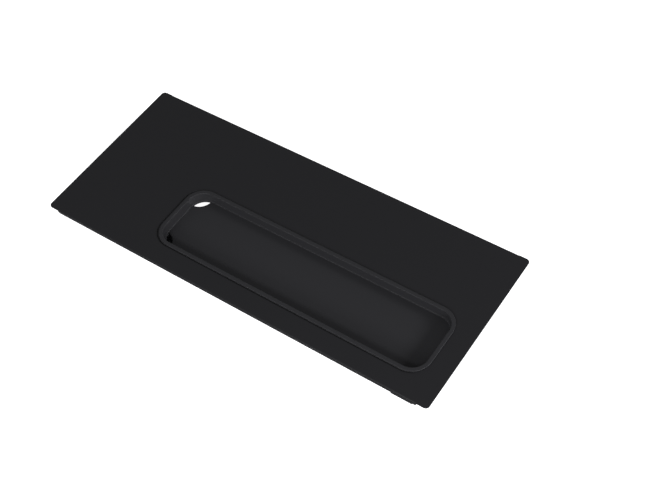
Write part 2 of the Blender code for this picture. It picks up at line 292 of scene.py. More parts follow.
class Paint:
    """A material built up node by node around one Principled shader."""

    def __init__(self, name):
        self.material = bpy.data.materials.new(name)
        self.material.use_nodes = True
        self.tree = self.material.node_tree
        self.shader = self.tree.nodes["Principled BSDF"]

    def fill(self, node, values):
        """Link or set a node's inputs."""
        for key, value in values.items():
            if isinstance(value, Wire):
                self.tree.links.new(value.socket, node.inputs[key])
            else:
                node.inputs[key].default_value = value

    def node(self, kind, settings=None, values=None, output=0):
        """Add a node and give one of its outputs; settings may hold a colour ramp's stops."""
        made = self.tree.nodes.new(kind)
        for key, value in (settings or {}).items():
            if key == "stops":
                ramp = made.color_ramp.elements
                while len(ramp) < len(value):
                    ramp.new(0.5)
                for element, (position, colour) in zip(ramp, value):
                    element.position = position
                    element.color = colour
            else:
                setattr(made, key, value)
        self.fill(made, values or {})
        return Wire(self, made.outputs[output])

    def place(self):
        return self.node("ShaderNodeTexCoord", output="Object")

    def noise(self, size, detail=2.0, roughness=0.5, place=None):
        """Cloudy noise whose largest features are about size metres across."""
        values = {"Scale": 1 / size, "Detail": detail, "Roughness": roughness}
        return self.node("ShaderNodeTexNoise", {}, {"Vector": place or self.place(), **values})

    def shade(self, low, high, mask):
        """A colour between two others."""
        values = {"Factor": mask, "A": (*low, 1.0), "B": (*high, 1.0)}
        return self.node("ShaderNodeMix", {"data_type": "RGBA"}, values, output=2)

    def bump(self, height, distance, strength=1.0):
        values = {"Height": height, "Distance": distance, "Strength": strength}
        return self.node("ShaderNodeBump", {}, values)

    def finish(self, values):
        self.fill(self.shader, values)
        return self.material


def satin_powder_coat():
    """Satin black powder coat: fine orange peel over slow changes of gloss."""
    paint = Paint("satin_black_paint")
    peel = paint.noise(1.6 * MM, 2.0) + 0.35 * paint.noise(0.45 * MM, 1.0)
    cloud = paint.noise(70 * MM, 3.0)
    return paint.finish({
        "Base Color": (0.0150, 0.0150, 0.0165, 1.0),
        "Specular IOR Level": 0.25,
        "Roughness": 0.50 + 0.06 * cloud,
        "Normal": paint.bump(peel, 0.004 * MM),
    })


def flange_profile(drop):
    """Cross-section from the face, over the fold, down a flange and back under the sheet."""
    tip = -drop
    inside = -SHEET - FOLD_INSIDE
    return np.concatenate([
        [(-2 * MARGIN, 0), (-FOLD_RADIUS - SUPPORT, 0)],
        arc((-FOLD_RADIUS, -FOLD_RADIUS), FOLD_RADIUS, 90, 0, 7),
        [(0, -FOLD_RADIUS - SUPPORT)],
        arc((-SHEET_EDGE, tip + SHEET_EDGE), SHEET_EDGE, 0, -90, 4),
        arc((-SHEET + SHEET_EDGE, tip + SHEET_EDGE), SHEET_EDGE, -90, -180, 4),
        [(-SHEET, inside - SUPPORT)],
        arc((inside, inside), FOLD_INSIDE, 0, 90, 4),
        [(inside - SUPPORT, -SHEET), (-2.2 * MARGIN, -SHEET)],
    ])


def free_edge_profile():
    """Cross-section of the unfolded sheet edge, with as many points as a flange's."""
    run = np.linspace(-0.4 * MARGIN, -1.7 * MARGIN, 10)
    return np.concatenate([
        [(-2 * MARGIN, 0), (-SHEET_EDGE - SUPPORT, 0)],
        arc((-SHEET_EDGE, -SHEET_EDGE), SHEET_EDGE, 90, 0, 7),
        [(0, -SHEET_EDGE - SUPPORT)],
        arc((-SHEET_EDGE, -SHEET + SHEET_EDGE), SHEET_EDGE, 0, -90, 4),
        np.stack([run, np.full(10, -SHEET)], 1),
        [(-2.2 * MARGIN, -SHEET)],
    ])


def flange_drop(x, with_tab):
    """How far the flange hangs at x: its drop less a quarter circle at either end, more along the tab."""
    drop = np.full_like(x, FLANGE_DROP)
    for radius, into in ((LEFT_END_RADIUS, x + FLANGE_END), (RIGHT_END_RADIUS, FLANGE_END - x)):
        short = radius - np.clip(into, 0, radius)
        drop -= radius - np.sqrt(radius**2 - short**2)
    if with_tab:
        middle = TAB_RIGHT - TAB_LENGTH / 2
        drop += TAB_DROP * np.clip((TAB_LENGTH / 2 - np.abs(x - middle)) / TAB_SLOPE, 0, 1)
    return drop


def opening_profile(inward):
    """Cross-section from under the sheet, round the opening's edge and over the groove by the rim.

    The groove is as wide as the normal's leftward share says, between its near and left
    widths, and as deep as the normal's part along the way it faces, doubled and clipped.
    """
    edge = np.concatenate([
        [(MARGIN, -SHEET), (SHEET_EDGE + SUPPORT, -SHEET)],
        arc((SHEET_EDGE, -SHEET + SHEET_EDGE), SHEET_EDGE, 270, 180, 4),
        arc((SHEET_EDGE, -SHEET_EDGE), SHEET_EDGE, 180, 90, 4),
        [(SHEET_EDGE + SUPPORT, 0), (MARGIN, 0)],
    ])
    depth = GROOVE_DEPTH * np.clip(2 * (inward @ np.array(GROOVE_FACING)), 0, 1)
    width = GROOVE_NEAR + (GROOVE_LEFT - GROOVE_NEAR) * np.clip(-inward[:, 0], 0, 1)
    start = np.full_like(width, RIM_WIDTH - OPENING_CLEARANCE - GROOVE_UNDER_RIM)
    end = start + GROOVE_UNDER_RIM + width
    across = np.stack([start, start + GROOVE_WALL, end - GROOVE_WALL, end, end + 2 * GROOVE_WALL], 1)
    groove = np.stack([across, np.outer(-depth, (0, 1, 1, 0, 0))], 2)
    return np.concatenate([np.tile(edge, (len(inward), 1, 1)), groove], 1)


def make_face_panel():
    """A sheet between two loops of profiles, the flanged outer edge's and the opening's."""
    reach = PANEL_LENGTH / 2 - SHEET_CORNER
    bulge = 1 - np.cos(np.linspace(0, math.pi / 2, 9))
    beyond = FLANGE_END + SUPPORT / 2
    tab_left = TAB_RIGHT - TAB_LENGTH
    stations = np.concatenate([
        np.linspace(-reach, reach, 61), [-beyond, beyond],
        LEFT_END_RADIUS * bulge - FLANGE_END, FLANGE_END - RIGHT_END_RADIUS * bulge,
        [tab_left, tab_left + TAB_SLOPE, TAB_RIGHT - TAB_SLOPE, TAB_RIGHT],
    ])
    fractions = np.unique(np.round((stations / reach + 1) / 2, 7))
    short = np.linspace(0, 1, 21)
    outer, outward = rounded_loop((PANEL_LENGTH, PANEL_WIDTH), SHEET_CORNER, fractions, short, 8)
    opening = (MOUTH[0] + 2 * OPENING_CLEARANCE, MOUTH[1] + 2 * OPENING_CLEARANCE)
    corner = MOUTH_CORNER + OPENING_CLEARANCE
    inner, inward = rounded_loop(opening, corner, fractions, short, 8, PULL_CENTRE)
    folded = (np.abs(outward[:, 1]) > 0.999) & (np.abs(outer[:, 0]) < beyond - SUPPORT / 4)
    near = outward[:, 1] < 0
    drops = np.where(near, flange_drop(outer[:, 0], True), flange_drop(outer[:, 0], False))
    flange = np.stack([flange_profile(d) for d in np.maximum(drops, 2 * FOLD_RADIUS - SHEET_EDGE)])
    profile = np.where(folded[:, None, None], flange, free_edge_profile()[None])
    inner_grid = carry(inner, inward, opening_profile(inward))
    grid = np.concatenate([carry(outer, outward, profile), inner_grid], 1)
    grid[:, :, 2] += PANEL_TOP
    return skin("face_sheet", [(grid, True, True)], satin_powder_coat())


face_sheet = make_face_panel()
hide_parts("face_panel")
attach(face_sheet, "root")

# ---- Pull cup ----------------------------------------------------------------------
# One black moulding with a fine texture: a proud rim that laps the sheet, drafted walls
# and a flat floor. A circle round each of the mouth's two left square corners relieves
# the floor there, which leaves a leaf-shaped drain.

RIM_TOP = cup_high.z - PANEL_TOP
RIM_SEAT = 0.05 * MM
RIM_OUTER_RADIUS = 0.6 * MM
RIM_INNER_RADIUS = 0.7 * MM
CUP_DEPTH = 8.0 * MM
CUP_DRAFT = 0.3 * MM
CUP_WALL = 1.5 * MM
CUP_FLOOR = 1.4 * MM
CUP_FILLET = 0.8 * MM
DRAIN_RADIUS = 11.8 * MM
DRAIN_LIP = 1.0 * MM
BACK_EDGE = 0.2 * MM
SLAB_INTO_WALL = 0.5 * MM
SLAB_LIP = 0.25 * MM
SLAB_SPINE_INSET = 24 * MM


def moulded_texture():
    """Black moulded plastic with a fine even texture."""
    paint = Paint("moulded_black_plastic")
    grain = paint.noise(0.5 * MM, 3.0, 0.6)
    cloud = paint.noise(40 * MM, 2.0)
    return paint.finish({
        "Base Color": (0.0250, 0.0250, 0.0270, 1.0),
        "Specular IOR Level": 0.22,
        "Roughness": 0.56 + 0.06 * cloud,
        "Normal": paint.bump(grain, 0.01 * MM),
    })


def make_pull_cup():
    """A wall carried round the mouth, and a floor slab that overlaps it and steps round the drains.

    Near a drain the wall's foot changes from a fillet to a straight lip, blended by how far
    the drain's circle reaches past the wall.
    """
    fractions = np.linspace(0, 1, 41)
    points, normals = rounded_loop(MOUTH, MOUTH_CORNER, fractions, np.linspace(0, 1, 11), 24, PULL_CENTRE)
    foot = -CUP_DEPTH + CUP_FILLET
    under = -CUP_DEPTH - CUP_FLOOR
    top = np.concatenate([
        arc((RIM_WIDTH - RIM_OUTER_RADIUS, RIM_TOP - RIM_OUTER_RADIUS), RIM_OUTER_RADIUS, 0, 90, 7),
        [(RIM_WIDTH - RIM_OUTER_RADIUS - SUPPORT, RIM_TOP), (RIM_INNER_RADIUS + SUPPORT, RIM_TOP)],
        arc((RIM_INNER_RADIUS, RIM_TOP - RIM_INNER_RADIUS), RIM_INNER_RADIUS, 90, 180, 7),
    ])
    filleted = np.concatenate([
        [(-CUP_DRAFT, foot + SUPPORT)],
        arc((-CUP_DRAFT - CUP_FILLET, foot), CUP_FILLET, 0, -90, 7),
        [(-2.2 * MM, -CUP_DEPTH - 0.03 * MM), (-2.2 * MM, -CUP_DEPTH - CUP_FLOOR / 2)],
        [(0, -CUP_DEPTH - CUP_FLOOR / 2), (0.3 * MM, under)],
    ])
    straight = np.concatenate([
        [(-CUP_DRAFT, foot + SUPPORT)],
        np.stack([np.linspace(-CUP_DRAFT, -DRAIN_LIP, 7), np.linspace(foot, under + 0.5 * MM, 7)], 1),
        [(-DRAIN_LIP, under + 0.2 * MM), (-DRAIN_LIP + 0.1 * MM, under + 0.05 * MM)],
        [(-DRAIN_LIP + 0.3 * MM, under), (0, under)],
    ])
    back = [
        (CUP_WALL - BACK_EDGE, under), (CUP_WALL, under + BACK_EDGE),
        (CUP_WALL, RIM_SEAT), (RIM_WIDTH - BACK_EDGE / 2, RIM_SEAT),
    ]
    square_corners = [np.array(PULL_CENTRE) + np.array((-MOUTH[0], s * MOUTH[1])) / 2 for s in (-1, 1)]
    wall_line = points - CUP_DRAFT * normals
    nearest = np.min([np.linalg.norm(wall_line - c, axis=1) for c in square_corners], 0)
    open_corner = np.clip((DRAIN_RADIUS + 0.3 * MM - nearest) / (0.4 * MM), 0, 1)[:, None, None]
    lower = filleted[None] * (1 - open_corner) + straight[None] * open_corner
    count = len(points)
    profile = np.concatenate([np.tile(top, (count, 1, 1)), lower, np.tile(back, (count, 1, 1))], 1)
    wall = carry(points, normals, profile)

    def slab_outline(inset):
        """The line just inside the wall less the inset, kept outside the drain circles grown by it."""
        edge = points + (SLAB_INTO_WALL - inset) * normals
        drain = DRAIN_RADIUS + inset
        for corner in square_corners:
            away = edge - corner
            reach = np.linalg.norm(away, axis=1, keepdims=True)
            edge = np.where(reach < drain, corner + away * drain / reach, edge)
        return edge

    slab_edge = np.concatenate([
        [(SLAB_LIP + SUPPORT, -CUP_DEPTH)],
        arc((SLAB_LIP, -CUP_DEPTH - SLAB_LIP), SLAB_LIP, 90, 180, 5),
        arc((SLAB_LIP, under + SLAB_LIP), SLAB_LIP, 180, 270, 5),
        [(SLAB_LIP + SUPPORT, under)],
    ])
    spine_reach = MOUTH[0] / 2 - SLAB_SPINE_INSET
    spine_x = np.clip(points[:, 0], PULL_CENTRE[0] - spine_reach, PULL_CENTRE[0] + spine_reach)
    spine = np.stack([spine_x, np.full(count, PULL_CENTRE[1])], 1)
    levels = [(spine, -CUP_DEPTH), *[(slab_outline(inset), z) for inset, z in slab_edge], (spine, under)]
    slab = np.stack([np.concatenate([line, np.full((count, 1), z)], 1) for line, z in levels], 1)
    for part in (wall, slab):
        part[:, :, 2] += PANEL_TOP
    return skin("recessed_pull", [(wall, True, True), (slab, True, False)], moulded_texture())


recessed_pull = make_pull_cup()
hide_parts("pull_cup")
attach(recessed_pull, "root")

# ---- Cup gasket --------------------------------------------------------------------
# A ring of soft black foam cut from sheet, stuck behind the panel round the opening so
# that the cup neither rattles nor lets spills past. Its cut edges bow out a little.

GASKET_CORNER_POWER = 7

gasket_low, gasket_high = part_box("cup_gasket")
GASKET_REACH = (gasket_high.x - gasket_low.x - MOUTH[0]) / 2


def black_foam():
    """Closed-cell foam: small cells, open where they were cut."""
    paint = Paint("black_foam")
    cells = paint.node(
        "ShaderNodeTexVoronoi", {"feature": "F1"}, {"Vector": paint.place(), "Scale": 1 / (0.7 * MM)}
    )
    cloud = paint.noise(6 * MM, 2.0)
    return paint.finish({
        "Base Color": paint.shade((0.012, 0.012, 0.012), (0.034, 0.033, 0.032), 0.7 * cells + 0.3 * cloud),
        "Roughness": 0.88 + 0.1 * cells,
        "Normal": paint.bump(cells, 0.12 * MM, 0.8),
    })


def make_gasket():
    """A squarish oval, a circle's cosine and sine raised to a low power, carried round the mouth."""
    fractions = np.linspace(0, 1, 61)
    points, normals = rounded_loop(MOUTH, MOUTH_CORNER, fractions, np.linspace(0, 1, 17), 16, PULL_CENTRE)
    turn = np.linspace(0, 2 * math.pi, 28, endpoint=False)
    oval = np.stack([np.cos(turn), np.sin(turn)], 1)
    oval = np.sign(oval) * np.abs(oval) ** (2 / GASKET_CORNER_POWER)
    breadth = GASKET_REACH - OPENING_CLEARANCE
    middle = ((GASKET_REACH + OPENING_CLEARANCE) / 2, (gasket_low.z + gasket_high.z) / 2)
    section = middle + oval * (breadth / 2, (gasket_high.z - gasket_low.z) / 2)
    return skin("foam_gasket", [(carry(points, normals, section), True, True)], black_foam())


foam_gasket = make_gasket()
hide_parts("cup_gasket")
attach(foam_gasket, "root")

# ---- Stiffeners --------------------------------------------------------------------
# Two hat channels of 0.8 mm steel, spot-welded by their feet behind the blank areas of
# the sheet, one along the far strip and one across the left end. Black electrocoat.

STIFFENER_SHEET = 0.8 * MM
STIFFENER_BEND = 1.4 * MM
STIFFENER_FOOT = 4.0 * MM
STIFFENER_CROWN = 4.4 * MM
STIFFENER_WEB = 7.1 * MM
CUT_EDGE = 0.18 * MM
CLOSEST_LINES = 0.08 * MM
SPOT_RADIUS = 1.9 * MM
SPOT_DEPTH = 0.22 * MM
SPOT_REACH = 1.3
SPOT_FALL = 0.5
HOLE_CELL = 1.7
SPOT_SPACING = 42.0 * MM


def black_electrocoat():
    """Thin black electrocoat over rolled steel: faint rolling lines, cloudy gloss and a few rubs."""
    paint = Paint("black_coated_steel")
    stretched = paint.node(
        "ShaderNodeMapping", {"vector_type": "POINT"}, {"Vector": paint.place(), "Scale": (0.12, 1.0, 1.0)}
    )
    rolling = paint.noise(1.2 * MM, 2.0, 0.6, stretched)
    cloud = paint.noise(18 * MM, 3.0)
    rubs = paint.node(
        "ShaderNodeValToRGB",
        {"stops": [(0.62, (0, 0, 0, 1)), (0.80, (1, 1, 1, 1))]},
        {"Fac": paint.noise(7 * MM, 5.0, 0.65)},
    )
    return paint.finish({
        "Base Color": paint.shade((0.011, 0.011, 0.012), (0.030, 0.030, 0.031), 0.5 * rubs + 0.3 * cloud),
        "Roughness": 0.33 + 0.18 * cloud - 0.06 * rubs,
        "Normal": paint.bump(rolling, 0.012 * MM),
        "Metallic": 0.15,
    })


def bend_line(corners, bend, steps=6):
    """A polyline with each inner corner replaced by an arc of the bend's mean radius.

    An arc starts and ends at the radius times the tangent of half the turn from the corner,
    and its points are the circle's at evenly spaced angles between.
    """
    corners = np.array(corners, float)
    before, here, after = corners[:-2], corners[1:-1], corners[2:]
    into = (here - before) / np.linalg.norm(here - before, axis=1, keepdims=True)
    out = (after - here) / np.linalg.norm(after - here, axis=1, keepdims=True)
    turn = np.arctan2(into[:, 0] * out[:, 1] - into[:, 1] * out[:, 0], (into * out).sum(1))
    start = here - into * (bend * np.tan(np.abs(turn) / 2))[:, None]
    side = np.sign(turn)[:, None] * np.stack([-into[:, 1], into[:, 0]], 1)
    part = np.linspace(0, 1, steps)[None] * np.abs(turn)[:, None]
    arcs = (
        start[:, None]
        + bend * np.sin(part)[..., None] * into[:, None]
        + bend * (1 - np.cos(part))[..., None] * side[:, None]
    )
    return np.concatenate([corners[:1], arcs.reshape(-1, 2), corners[-1:]])


def lines_between(groups, step):
    """Grid lines through the marks, with even ones no wider apart than step between.

    A mark that lies too close to one of an earlier group is left out.
    """
    marks = np.empty(0)
    for group in groups:
        group = np.unique(group)
        group = group[np.diff(group, prepend=-1) > CLOSEST_LINES]
        apart = np.abs(group[:, None] - marks).min(1, initial=1)
        marks = np.sort(np.concatenate([marks, group[apart > CLOSEST_LINES]]))
    counts = np.maximum(1, np.ceil(np.diff(marks) / step).astype(int))
    runs = [np.linspace(a, b, n, endpoint=False) for a, b, n in zip(marks[:-1], marks[1:], counts)]
    return np.concatenate([*runs, marks[-1:]])


def pressed_sheet(name, section, breadth, thickness, place, paint, step, holes=(), spots=(), bead=None):
    """A flat blank folded along a section line, then given its thickness and rounded cut edges.

    A point of the blank is (distance along the section, distance across it). Folding reads
    the section's point and normal at that distance. Holes, (along, across, radius), are
    rings of faces between a circle and a square of grid lines. Spots are dimples whose
    depth falls off as a rounded step, and bead gives a raised rib's height.
    """
    length = np.concatenate([[0], np.cumsum(np.linalg.norm(np.diff(section, axis=0), axis=1))])
    cell = [HOLE_CELL * radius for _, _, radius in holes]
    along_marks, across_marks = [length[[0, -1]]], [np.array([-breadth / 2, breadth / 2])]
    for (along, across, _), half in zip(holes, cell):
        along_marks.append(along + np.linspace(-half, half, 9))
        across_marks.append(across + np.linspace(-half, half, 9))
    along_marks.append(length)
    for along, across in spots:
        ring = np.linspace(-SPOT_REACH, SPOT_REACH, 9) * SPOT_RADIUS
        along_marks.append(np.clip(along + ring, 0, length[-1]))
        across_marks.append(np.clip(across + ring, -breadth / 2, breadth / 2))
    u, v = lines_between(along_marks, step), lines_between(across_marks, step)
    blank = np.stack(np.meshgrid(u, v, indexing="ij"), -1)
    index = np.arange(blank[..., 0].size).reshape(len(u), len(v))
    quads = np.stack([index[:-1, :-1], index[1:, :-1], index[1:, 1:], index[:-1, 1:]], -1).reshape(-1, 4)
    points = blank.reshape(-1, 2)
    for (along, across, radius), half in zip(holes, cell):
        away = np.abs(points[quads].mean(1) - (along, across)).max(1)
        quads = quads[away > half]
        inside = np.abs(points - (along, across)).max(1)
        border = np.flatnonzero(np.abs(inside - half) < 1e-6)
        offset = points[border] - (along, across)
        order = np.argsort(np.arctan2(offset[:, 1], offset[:, 0]))
        border, offset = border[order], offset[order]
        rim = radius * offset / np.linalg.norm(offset, axis=1, keepdims=True)
        rings = [offset + (rim - offset) * share for share in (0.4, 0.75, 1.0)]
        first = len(points)
        points = np.concatenate([points, *[(along, across) + ring for ring in rings]])
        count = len(border)
        rows = np.concatenate([border[None], first + np.arange(3 * count).reshape(3, count)])
        rows = np.concatenate([rows, rows[:, :1]], 1)
        patch = np.stack([rows[:-1, :-1], rows[1:, :-1], rows[1:, 1:], rows[:-1, 1:]], -1)
        quads = np.concatenate([quads, patch.reshape(-1, 4)])
    used, quads = np.unique(quads, return_inverse=True)
    points, quads = points[used], quads.reshape(-1, 4)
    slope = np.gradient(section, length, axis=0)
    slope /= np.linalg.norm(slope, axis=1, keepdims=True)
    at = [np.interp(points[:, 0], length, column) for column in section.T]
    normal = [np.interp(points[:, 0], length, column) for column in (-slope[:, 1], slope[:, 0])]
    lift = np.zeros(len(points))
    for spot in spots:
        reach = np.linalg.norm(points - spot, axis=1) / SPOT_RADIUS
        lift -= SPOT_DEPTH * np.clip((SPOT_REACH - reach) / SPOT_FALL, 0, 1)
    if bead:
        lift += bead(points[:, 0], points[:, 1])
    folded = np.stack([at[0] + normal[0] * lift, points[:, 1], at[1] + normal[1] * lift], 1)
    mesh = bpy.data.meshes.new(name)
    mesh.from_pydata(place(folded).tolist(), [], quads.tolist())
    mesh.materials.append(paint)
    mesh.shade_smooth()
    made = bpy.data.objects.new(name, mesh)
    bpy.context.scene.collection.objects.link(made)
    thicken = made.modifiers.new("thickness", "SOLIDIFY")
    thicken.thickness = thickness
    thicken.offset = 0
    edges = made.modifiers.new("cut_edges", "BEVEL")
    edges.width = CUT_EDGE
    edges.segments = 2
    edges.limit_method = "ANGLE"
    edges.angle_limit = math.radians(50)
    made.modifiers.new("even_normals", "WEIGHTED_NORMAL")
    return made


def hat_section(half_crown, half_web, half_foot, low, high, bend):
    """Mean line of a hat: two feet at the high level, sloping webs and a crown at the low one."""
    corners = [(half_web, high), (half_crown, low), (-half_crown, low), (-half_web, high)]
    return bend_line([(half_foot, high), *corners, (-half_foot, high)], bend)


def make_stiffener(name, node, lengthways):
    """A hat channel along the box's length or across it, with a pair of weld spots at even spacing."""
    low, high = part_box(node)
    middle = (np.array(low) + np.array(high)) / 2
    size = np.array(high) - np.array(low)
    length, breadth = (size[0], size[1]) if lengthways else (size[1], size[0])
    half = STIFFENER_SHEET / 2
    section = hat_section(
        STIFFENER_CROWN, STIFFENER_WEB, breadth / 2, low.z + half, high.z - half, STIFFENER_BEND
    )
    run = np.linalg.norm(np.diff(section, axis=0), axis=1).sum()
    count = max(2, round(length / SPOT_SPACING))
    places = (np.arange(count) + 0.5) * length / count - length / 2
    spots = [(side, at) for at in places for side in (STIFFENER_FOOT / 2, run - STIFFENER_FOOT / 2)]

    def place(p):
        """The channel's length runs along X, or else along Y."""
        if lengthways:
            return np.stack([middle[0] + p[:, 1], middle[1] - p[:, 0], p[:, 2]], 1)
        return np.stack([middle[0] + p[:, 0], middle[1] + p[:, 1], p[:, 2]], 1)

    return pressed_sheet(name, section, length, STIFFENER_SHEET, place, electrocoat, spots=spots, step=9 * MM)


electrocoat = black_electrocoat()
for stiffener_name, stiffener_node, lengthways in (
    ("long_hat_channel", "long_stiffener", True),
    ("side_hat_channel", "side_stiffener", False),
):
    stiffener = make_stiffener(stiffener_name, stiffener_node, lengthways)
    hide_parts(stiffener_node)
    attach(stiffener, "root")

# ---- Clamp bridges -----------------------------------------------------------------
# Three pressed straps that reach across the back of the cup with their feet against the
# sheet. Each has a hole under either boss and a rib along its crown, and is pulled up
# by two screws.

BRIDGE_SHEET = 1.2 * MM
BRIDGE_BEND = 1.8 * MM
BRIDGE_FOOT = 8.8 * MM
BRIDGE_HOLE = 2.3 * MM
RIB_HEIGHT = 0.7 * MM
RIB_HALF_BREADTH = 2.6 * MM
RIB_HALF_LENGTH = 8.0 * MM

for where in ("left", "middle", "right"):
    bridge_low, bridge_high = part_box(f"{where}_clamp_bridge")
    bridge_middle = (bridge_low + bridge_high) / 2
    half = BRIDGE_SHEET / 2
    half_foot = (bridge_high.y - bridge_low.y) / 2
    half_web = half_foot - BRIDGE_FOOT + half
    bridge_line = hat_section(
        half_web, half_web, half_foot, bridge_low.z + half, bridge_high.z - half, BRIDGE_BEND
    )
    centre_run = np.linalg.norm(np.diff(bridge_line, axis=0), axis=1).sum() / 2
    far_screw_low, far_screw_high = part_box(f"{where}_far_cup_screw")
    screw_reach = (far_screw_low.y + far_screw_high.y) / 2 - bridge_middle.y

    def crown_rib(along, across):
        """A rib whose height is a cosine bump across the strap, fading at its two ends."""
        side = np.clip(np.abs(across) / RIB_HALF_BREADTH, 0, 1)
        end = np.clip((np.abs(along - centre_run) - RIB_HALF_LENGTH) / RIB_HALF_BREADTH, 0, 1)
        return RIB_HEIGHT * (0.5 + 0.5 * np.cos(np.pi * side)) * (0.5 + 0.5 * np.cos(np.pi * end))

    def across_cup(p):
        """The folded strap's length runs across the cup, from far to near."""
        return np.stack([bridge_middle.x + p[:, 1], bridge_middle.y - p[:, 0], p[:, 2]], 1)

    strap = pressed_sheet(
        f"{where}_strap", bridge_line, bridge_high.x - bridge_low.x, BRIDGE_SHEET, across_cup, electrocoat,
        holes=[(centre_run + side * screw_reach, 0.0, BRIDGE_HOLE) for side in (-1, 1)],
        spots=[(BRIDGE_FOOT / 2, 0.0), (2 * centre_run - BRIDGE_FOOT / 2, 0.0)],
        bead=crown_rib, step=1.0 * MM,
    )
    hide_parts(f"{where}_clamp_bridge")
    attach(strap, "root")

# ---- Cup screws --------------------------------------------------------------------
# Six thread-forming screws with pan heads and cross recesses, bright zinc plated and
# passivated, driven up through the straps into the bosses under the cup.

HEAD_HEIGHT = 2.2 * MM
THREAD_PITCH = 1.4 * MM
THREAD_DEPTH = 0.35 * MM
RECESS_DEPTH = 1.4 * MM
RECESS_ARM = 2.1 * MM
RECESS_HALF_SLOT = 0.45 * MM
AROUND = 72


def zinc_plate():
    """Passivated zinc: bluish bright metal with a fine crystal grain and dull clouds."""
    paint = Paint("zinc_plated_steel")
    spacing = {"Vector": paint.place(), "Scale": 1 / (0.35 * MM)}
    crystal = paint.node("ShaderNodeTexVoronoi", {"feature": "F1"}, spacing, output=1)
    grain = paint.node("ShaderNodeRGBToBW", {}, {"Color": crystal})
    cloud = paint.noise(2.5 * MM, 4.0, 0.6)
    return paint.finish({
        "Base Color": paint.shade((0.36, 0.38, 0.40), (0.62, 0.64, 0.66), 0.35 * grain + 0.65 * cloud),
        "Metallic": 1.0,
        "Roughness": 0.24 + 0.22 * cloud + 0.06 * grain,
        "Normal": paint.bump(grain, 0.004 * MM),
    })


def turned(rows):
    """Surface of revolution: each row is (radius, height), at evenly spaced angles."""
    angle = np.linspace(0, 2 * math.pi, AROUND, endpoint=False)
    rows = np.asarray(rows, float)
    radius, height = rows[:, :1] * np.ones(AROUND), rows[:, 1:] * np.ones(AROUND)
    return np.stack([radius * np.cos(angle), radius * np.sin(angle), height], -1)


def thread(radius, low, high, depth, pitch, per_pitch=8):
    """A helical thread: the radius is cut by a triangle wave of height over pitch less angle."""
    rows = int((high - low) / pitch * per_pitch)
    height = np.linspace(low, high, rows)[:, None]
    angle = np.linspace(0, 2 * math.pi, AROUND, endpoint=False)
    phase = (height / pitch - angle / (2 * math.pi)) % 1
    wave = np.abs(2 * phase - 1)
    fade = np.clip((high - height) / pitch, 0, 1) * np.clip((height - low) / pitch * 2, 0, 1)
    reach = radius - depth * (1 - (1 - wave) * fade)
    return np.stack([reach * np.cos(angle), reach * np.sin(angle), np.broadcast_to(height, reach.shape)], -1)


def make_screw(name, node, paint):
    """Head dome with a cross sunk in it by the distance to two crossing slots, then a threaded shank."""
    low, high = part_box(node)
    head = (high.x - low.x) / 2
    shank = head / 2
    seat = low.z + HEAD_HEIGHT
    share = np.linspace(0, 1, 26)[1:, None] ** 0.9
    angle = np.linspace(0, 2 * math.pi, AROUND, endpoint=False)
    reach = share * head * np.ones_like(angle)
    dome = low.z + HEAD_HEIGHT * 0.75 * (1 - np.sqrt(np.clip(1 - share**2.6, 0, 1))) * np.ones_like(angle)
    x, y = reach * np.cos(angle), reach * np.sin(angle)
    arm = np.minimum(np.abs(x), np.abs(y)) - RECESS_HALF_SLOT
    end = np.maximum(np.abs(x), np.abs(y)) - RECESS_ARM
    wall = np.clip(-np.maximum(arm, end) / (0.25 * MM), 0, 1)
    taper = 1 - 0.75 * np.clip(reach / RECESS_ARM, 0, 1)
    top = dome + wall * RECESS_DEPTH * taper
    cap = np.stack([x, y, top], -1)
    pole = np.zeros((1, AROUND, 3))
    pole[..., 2] = low.z + RECESS_DEPTH
    skirt = turned([(head, seat - 0.35 * MM), (head - 0.1 * MM, seat), (shank + 0.2 * MM, seat)])
    shaft = thread(shank, seat + 0.1 * MM, high.z - 0.7 * MM, THREAD_DEPTH, THREAD_PITCH)
    tip = turned([(shank * 0.55, high.z - 0.15 * MM), (shank * 0.3, high.z), (0, high.z)])
    grid = np.concatenate([pole, cap, skirt, shaft, tip])
    grid[..., 0] += (low.x + high.x) / 2
    grid[..., 1] += (low.y + high.y) / 2
    return skin(name, [(grid, False, True)], paint, sharp=50)


zinc = zinc_plate()
for where in ("left", "middle", "right"):
    for side in ("near", "far"):
        screw = make_screw(f"{where}_{side}_pan_screw", f"{where}_{side}_cup_screw", zinc)
        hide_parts(f"{where}_{side}_cup_screw")
        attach(screw, "root")

# ---- Damping pad -------------------------------------------------------------------
# A patch of bitumen mastic rolled with a waffle, pressed on behind the blank left end
# to stop it from drumming.

WAFFLE_PITCH = 4.2 * MM
WAFFLE_DEPTH = 0.6 * MM
WAFFLE_GROOVE = 0.55 * MM
MASTIC_CORNER = 3.5 * MM
MASTIC_EDGE = 0.7 * MM

mastic_low, mastic_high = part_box("damping_pad")


def damping_mastic():
    """Dark bitumen: matt, grainy, with paler filler flecks."""
    paint = Paint("damping_mastic")
    grain = paint.noise(0.5 * MM, 3.0, 0.7)
    flecks = paint.node(
        "ShaderNodeValToRGB",
        {"stops": [(0.66, (0, 0, 0, 1)), (0.74, (1, 1, 1, 1))]},
        {"Fac": paint.noise(0.8 * MM, 2.0)},
    )
    return paint.finish({
        "Base Color": paint.shade((0.016, 0.015, 0.014), (0.075, 0.072, 0.066), 0.6 * flecks + 0.15 * grain),
        "Roughness": 0.72 + 0.2 * grain,
        "Normal": paint.bump(grain, 0.06 * MM, 0.7),
    })


